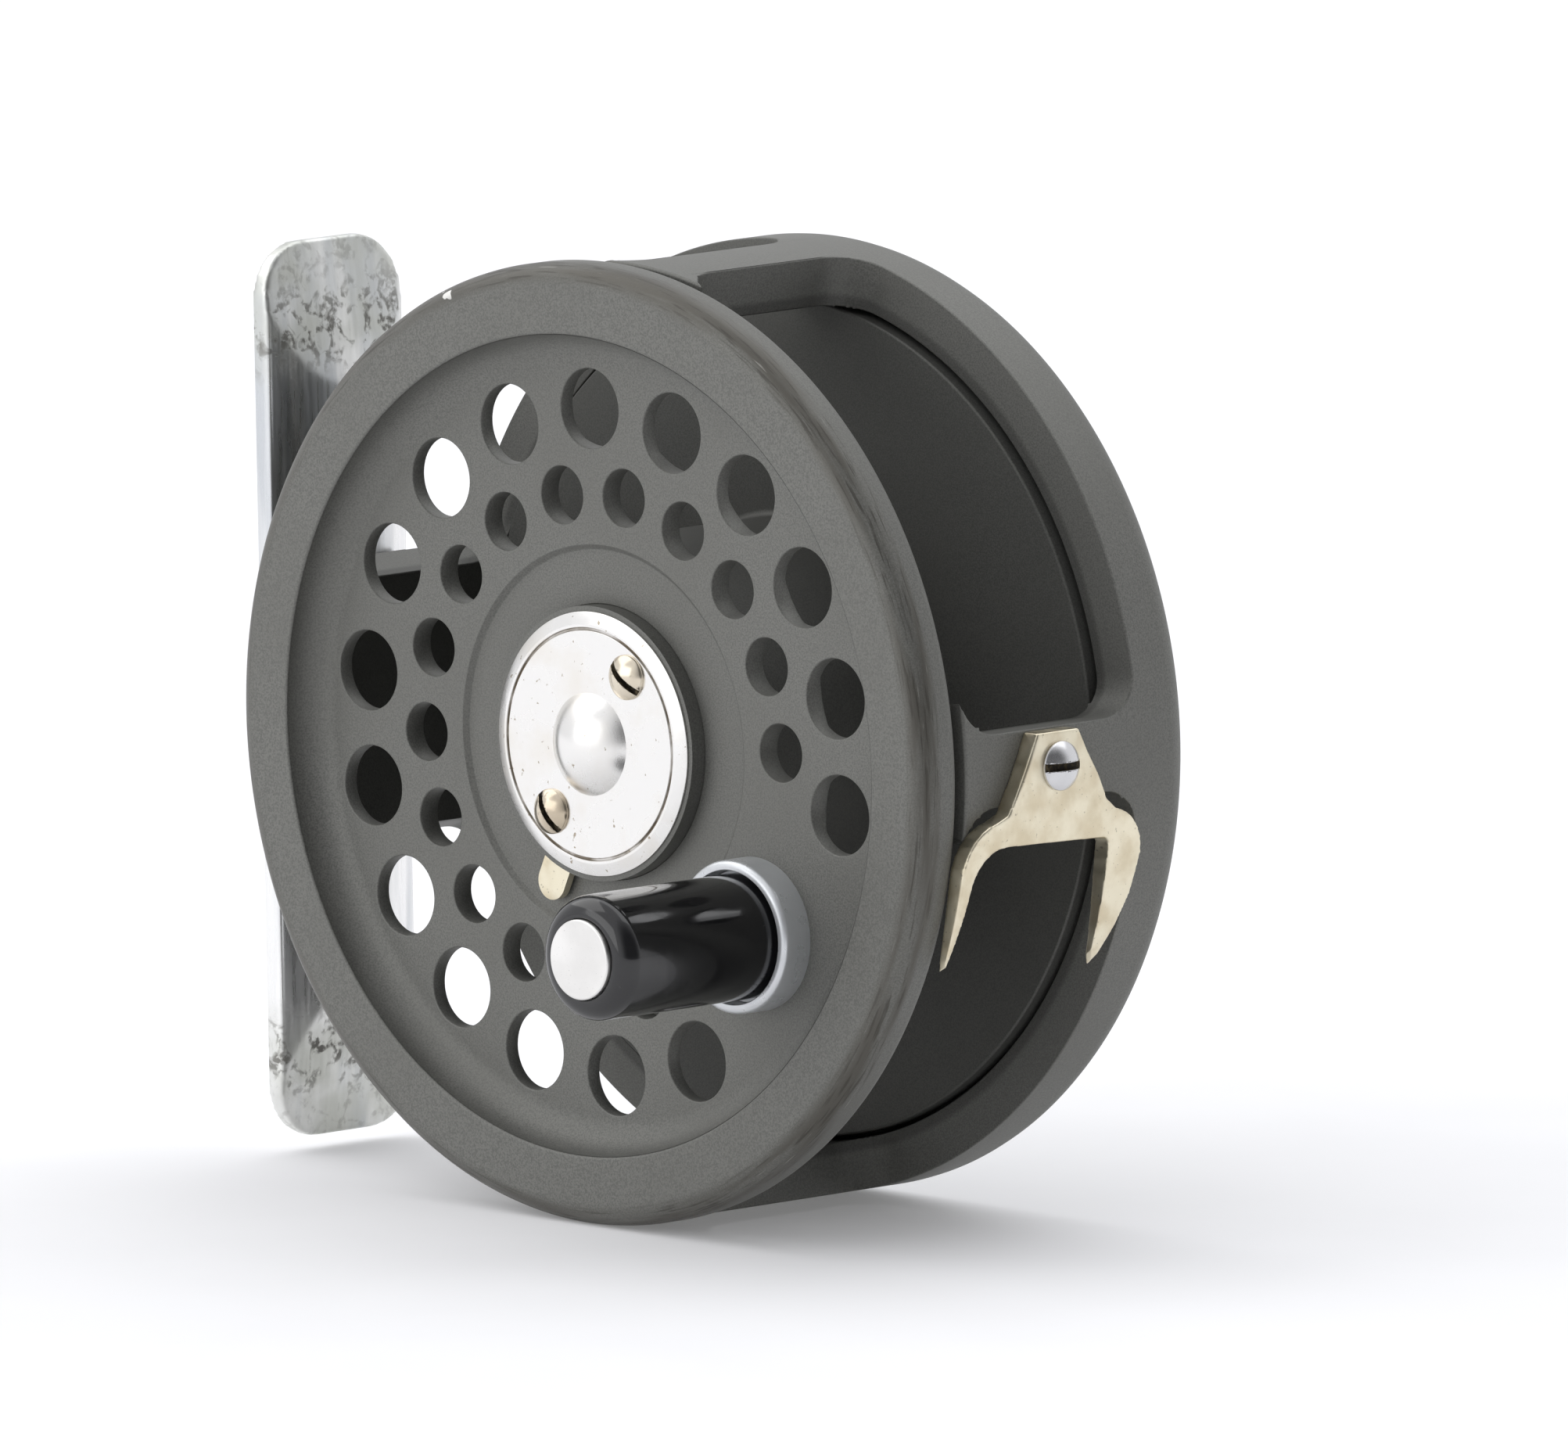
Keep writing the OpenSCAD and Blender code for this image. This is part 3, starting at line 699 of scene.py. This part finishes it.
def guard_screw():
    outward = Matrix.Rotation(math.radians(90), 4, "Y")
    place = Matrix.Translation(spot(FRAME_R + GUARD_T, 0, GUARD_Y)) @ outward
    piece = round_head("guard_screw", place, 1.85, 1.0, 90, 0.56, 1.0)
    return stand_for(piece, "line_guard_screw", "frame", STEEL, SLOT_DARK_FILL)


# ---- Cap, screws and handle ----

CAP_FRONT = -1.4
CAP_SEAT = -0.9
CAP_R = 9.9
PIN_R = 1.6
GRIP_R = 4.7
GRIP_FRONT = -18.15
GRIP_BACK = -1.35


def spool_cap():
    dome_base, dome_rise = 3.85, 1.7
    dome_r = (dome_base ** 2 + dome_rise ** 2) / (2 * dome_rise)
    slope = math.degrees(math.acos(dome_base / dome_r))
    dome = [(x, CAP_FRONT - dome_rise + dome_r - z) for x, z in arc(0, 0, dome_r, 90, slope, 24)]
    dome[0] = (0, CAP_FRONT - dome_rise)
    groove_floor = CAP_FRONT + 0.14
    face = fillet([
        (dome_base + 0.02, CAP_FRONT), (8.5, CAP_FRONT, 0.04), (8.56, groove_floor),
        (8.7, groove_floor), (8.76, CAP_FRONT, 0.04), (8.97, CAP_FRONT, 0.05), (CAP_R, -1.05, 0.05),
        (CAP_R, CAP_SEAT, 0.03), (0, CAP_SEAT)], 4)
    piece = lathe("spool_cap_plate", dome + face, steps=288)
    smooth(piece, sharp=38)
    return stand_for(piece, "spool_cap", "spool", CAP_BRIGHT)


def cap_screws():
    for i, angle in enumerate(CAP_SCREW_ANGLES):
        place = facing(CAP_SCREW_R, angle, CAP_FRONT)
        slot_turn = CAP_SLOT_ANGLES[i] - angle
        piece = round_head(f"cap_screw_{i + 1}", place, 1.7, 0.9, slot_turn, 0.46, 1.0)
        stand_for(piece, "cap_screws", "spool", SCREW_SILVER, SLOT_DARK_FILL)


def handle():
    at = (HANDLE_R, HANDLE_ANGLE)
    collar = lathe("grip_collar", fillet([
        (5.0, -2.7, 0.1), (5.75, -2.7, 0.5), (5.75, 0.0), (PIN_R, 0.0), (PIN_R, -1.2),
        (5.0, -1.2, 0.1)], 8), at, 192)
    stand_for(smooth(collar, sharp=45), "handle_collar", "spool", COLLAR_STEEL)
    grip = lathe("grip_sleeve", fillet([
        (3.05, GRIP_FRONT, 0.12), (GRIP_R, GRIP_FRONT, 1.5), (GRIP_R, GRIP_BACK, 0.3),
        (1.65, GRIP_BACK), (1.65, -17.25), (3.05, -17.25)], 12), at, 192)
    stand_for(smooth(grip, sharp=45), "handle_grip", "grip", GRIP_BLACK)
    pin = lathe("grip_pin", fillet([
        (0, -18.5), (3.0, -18.5, 0.14), (3.0, -17.5), (PIN_R, -17.5), (PIN_R, 1.9), (2.2, 1.9),
        (2.2, 2.3, 0.2), (0, 2.3)], 6), at, 128)
    stand_for(smooth(pin, sharp=45), "handle_pin", "spool", PIN_STEEL)


def knob():
    """The adjuster's fluted dial, with a groove turned into its top."""
    flutes = 24
    top, dip, base = FRAME_BACK + 2.3, FRAME_BACK + 2.0, FRAME_BACK - 0.15

    def fluted(radius, angle):
        groove = max(0.0, math.cos(flutes * angle)) ** 2
        return radius - 0.3 * groove if radius > 4 else radius

    piece = lathe("adjuster_dial", fillet([
        (0, top), (2.2, top, 0.1), (2.6, dip, 0.1), (3.4, dip, 0.1), (3.7, top, 0.1),
        (4.6, top, 0.35), (4.6, base, 0.2), (1.5, base), (1.5, 22.9), (0, 22.9)], 5),
        (KNOB_R, KNOB_ANGLE), flutes * 12, fluted)
    smooth(piece, sharp=60)
    return stand_for(piece, "adjuster_knob", "adjuster", CAP_BRIGHT)


# ---- Nodes that keep their own shape ----

KEPT = {
    "spindle": STEEL, "spindle_screws": SCREW_SILVER, "foot_screws": STEEL, "pawl_posts": STEEL,
    "spring_posts": BRASS, "check_springs": SPRING_STEEL, "check_pawl_left": BRONZE,
    "check_pawl_right": BRONZE, "adjuster_cam": BRASS, "adjuster_screw": STEEL,
    "spool_bushing": BRASS, "check_wheel": STEEL, "check_wheel_screws": SCREW_SILVER,
    "latch_housing": FRAME_GREY, "latch_lever": GUARD_SILVER, "latch_spring": SPRING_STEEL,
}


# Nodes whose edges stay as the CAD has them.
UNBEVELLED = ("spindle_screws",)


def finish_kept_nodes():
    """Gives the other CAD nodes their materials, and most of them slightly rounded edges."""
    for name, material in KEPT.items():
        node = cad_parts[name]
        for place in node.material_slots:
            place.material = material
        weld = node.modifiers.new("weld", "WELD")
        weld.merge_threshold = 1e-6
        if name in UNBEVELLED:
            continue
        edges = node.modifiers.new("edges", "BEVEL")
        edges.width = 0.06 * MM
        edges.segments = 2
        edges.limit_method = "ANGLE"
        edges.angle_limit = math.radians(40)
        normals = node.modifiers.new("normals", "WEIGHTED_NORMAL")
        normals.weight = 80


# ---- Studio ----

# The reel leans on the table by this much, so the camera, the table and the lights lean with it.
LEAN = Matrix.Rotation(math.radians(1.5), 3, "Y")
VIEW_ROUND = math.radians(44.76)
VIEW_UP = math.radians(8.17)
VIEW_DISTANCE = 2.906
VIEW_RIGHT = 13.47 * MM
VIEW_RAISE = 1.667 * MM
IMAGE_W = 2005
FOCAL_PIXELS = 50000
SENSOR = 36


def studio_camera():
    right = LEAN @ Vector((math.cos(VIEW_ROUND), math.sin(VIEW_ROUND), 0))
    level = math.cos(VIEW_UP)
    back = LEAN @ Vector((
        math.sin(VIEW_ROUND) * level, -math.cos(VIEW_ROUND) * level, math.sin(VIEW_UP)))
    up = back.cross(right)
    data = bpy.data.cameras.new("camera")
    data.sensor_width = SENSOR
    data.lens = FOCAL_PIXELS * SENSOR / IMAGE_W
    camera = bpy.data.objects.new("camera", data)
    bpy.context.scene.collection.objects.link(camera)
    where = spot(0, 0, 0) + right * VIEW_RIGHT + up * VIEW_RAISE + back * VIEW_DISTANCE
    turn = Matrix((right, up, back)).transposed()
    camera.matrix_world = Matrix.Translation(where) @ turn.to_4x4()
    bpy.context.scene.camera = camera


def table():
    centre = spot(0, 0, 0) - LEAN @ Vector((0, 0, RIM_R * MM))
    bm = bmesh.new()
    bmesh.ops.create_grid(bm, x_segments=8, y_segments=8, size=4)
    bm.transform(Matrix.Translation(centre) @ LEAN.to_4x4())
    sheet = new_piece("table", bm)
    sheet.data.materials.append(floor_white())


def softbox(name, direction, distance, width, height, power, colour):
    """An area light that faces the reel from a direction in the table's own axes."""
    light = bpy.data.lights.new(name, "AREA")
    light.shape = "RECTANGLE"
    light.size = width
    light.size_y = height
    light.energy = power
    light.color = colour
    lamp = bpy.data.objects.new(name, light)
    bpy.context.scene.collection.objects.link(lamp)
    aim = (LEAN @ Vector(direction)).normalized()
    turn = aim.to_track_quat("Z", "Y").to_matrix().to_4x4()
    lamp.matrix_world = Matrix.Translation(spot(0, 0, 10) + aim * distance) @ turn


# The side of the surroundings that is dark, which gives the bright metal its contrast.
DARK_SIDE = (0.93, -0.22, 0.2)
# Name, direction, distance, width, height, power and colour.
SOFTBOXES = (
    ("key", (-0.75, -0.35, 0.9), 1.5, 1.5, 1.1, 5.5, (1.0, 0.99, 0.975)),
    ("top", (0.0, 0.5, 1.0), 1.3, 1.5, 1.2, 4.5, (0.98, 0.99, 1.0)),
    ("fill", (-0.35, -1.0, 0.3), 1.6, 1.3, 0.8, 3.5, (1.0, 1.0, 1.0)),
)


def studio_light():
    world = bpy.data.worlds.new("studio")
    world.use_nodes = True
    tree = world.node_tree
    way = tree.nodes.new("ShaderNodeTexCoord")
    towards = tree.nodes.new("ShaderNodeVectorMath")
    towards.operation = "DOT_PRODUCT"
    towards.inputs[1].default_value = Vector(DARK_SIDE).normalized()
    shade = tree.nodes.new("ShaderNodeMapRange")
    shade.interpolation_type = "SMOOTHSTEP"
    for socket, number in (("From Min", 0.45), ("From Max", 0.92), ("To Min", 0.96), ("To Max", 0.14)):
        shade.inputs[socket].default_value = number
    backdrop = tree.nodes["Background"]
    backdrop.inputs["Color"].default_value = (0.97, 0.975, 1.0, 1)
    tree.links.new(way.outputs["Generated"], towards.inputs[0])
    tree.links.new(towards.outputs["Value"], shade.inputs["Value"])
    tree.links.new(shade.outputs["Result"], backdrop.inputs["Strength"])
    bpy.context.scene.world = world
    for box in SOFTBOXES:
        softbox(*box)
    bpy.context.scene.view_settings.view_transform = "Standard"


studio_camera()
table()
studio_light()
spool()
cage()
foot()
line_guard()
guard_screw()
spool_cap()
cap_screws()
handle()
knob()
finish_kept_nodes()
